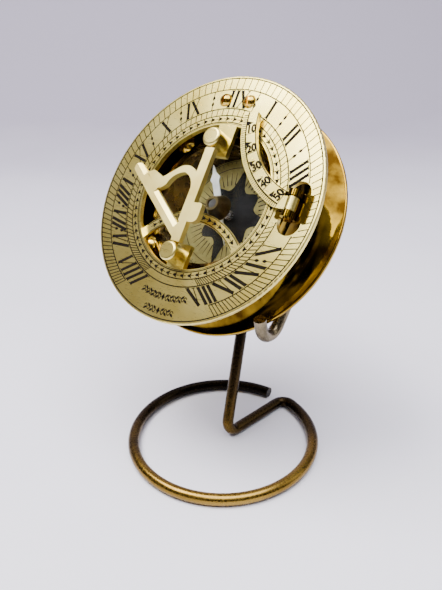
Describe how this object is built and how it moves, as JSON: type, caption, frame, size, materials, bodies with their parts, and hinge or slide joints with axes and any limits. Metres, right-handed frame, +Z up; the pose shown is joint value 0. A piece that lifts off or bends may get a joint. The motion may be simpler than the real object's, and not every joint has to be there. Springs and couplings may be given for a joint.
{
  "type": "pocket sundial on a wire stand",
  "caption": "Brass pocket sundial with a folding gnomon, a folding latitude arc and a compass under the hinged dial plate, resting in the hooks of a bent wire display stand.",
  "frame": {"origin": "centre of the bottom of the whole object's bounding box, on the surface that the stand's ring rests on", "axes": "+Z up; the dial's normal leans back from -Y towards +Z; +X is to the right when facing the dial"},
  "size_m": [0.0794, 0.0713, 0.1099],
  "materials": {
    "wire": "dark antiqued, worn bright on top",
    "braze": "brazed bead",
    "case_brass": "polished",
    "card": "printed, matt",
    "steel": "ground",
    "glass": "clear",
    "screw_brass": "polished",
    "needle_steel": "bright",
    "dial_brass": "fine brushed, engraving filled black",
    "jewel": "dark polished"
  },
  "bodies": {
    "stand": {"stand_wire": "wire", "cradle_wire": "wire", "brazed_joint": "braze"},
    "case": {"case_body": "case_brass", "case_base": "case_brass", "compass_bowl": "case_brass", "compass_card": "card", "pivot_post": "steel", "compass_glass": "glass", "bezel_ring": "case_brass", "hinge_bracket": "case_brass", "hinge_pin": "case_brass", "bezel_screw_1": "screw_brass", "bezel_screw_2": "screw_brass", "bezel_screw_3": "screw_brass", "bezel_screw_4": "screw_brass"},
    "dial": {"dial_plate": "dial_brass", "hinge_block": "case_brass", "gnomon_post_north": "dial_brass", "gnomon_post_south": "dial_brass", "gnomon_spring": "dial_brass", "arc_bracket": "case_brass", "arc_pivot_pin": "screw_brass", "hinge_screw_west": "screw_brass", "hinge_screw_east": "screw_brass"},
    "gnomon": {"gnomon": "dial_brass", "gnomon_pin_south": "screw_brass", "gnomon_pin_north": "screw_brass"},
    "latitude_arc": {"latitude_arc": "dial_brass"},
    "needle": {"needle": "needle_steel", "needle_cap": "dial_brass", "cap_jewel": "jewel"}
  },
  "joints": [
    {"name": "case_lift", "type": "slide", "parent": "stand", "child": "case", "axis": [0, 0.6121, 0.7908], "range_m": [0, 0.05]},
    {"name": "dial_tilt", "type": "hinge", "parent": "case", "child": "dial", "pos_m": [-0.00353, 0.02027, 0.1011], "axis": [-0.998, -0.0388, -0.0501], "range_deg": [0, 60]},
    {"name": "gnomon_fold", "type": "hinge", "parent": "dial", "child": "gnomon", "pos_m": [-0.00114, -0.00405, 0.0821], "axis": [-0.0633, 0.6109, 0.7892], "range_deg": [0, 90]},
    {"name": "arc_fold", "type": "hinge", "parent": "dial", "child": "latitude_arc", "pos_m": [0.02923, -0.00079, 0.08353], "axis": [-0.0633, 0.6109, 0.7892], "range_deg": [0, 90]},
    {"name": "needle_spin", "type": "hinge", "parent": "case", "child": "needle", "pos_m": [-0.00163, 0.00637, 0.07399], "axis": [0, -0.7908, 0.6121], "continuous": true}
  ]
}
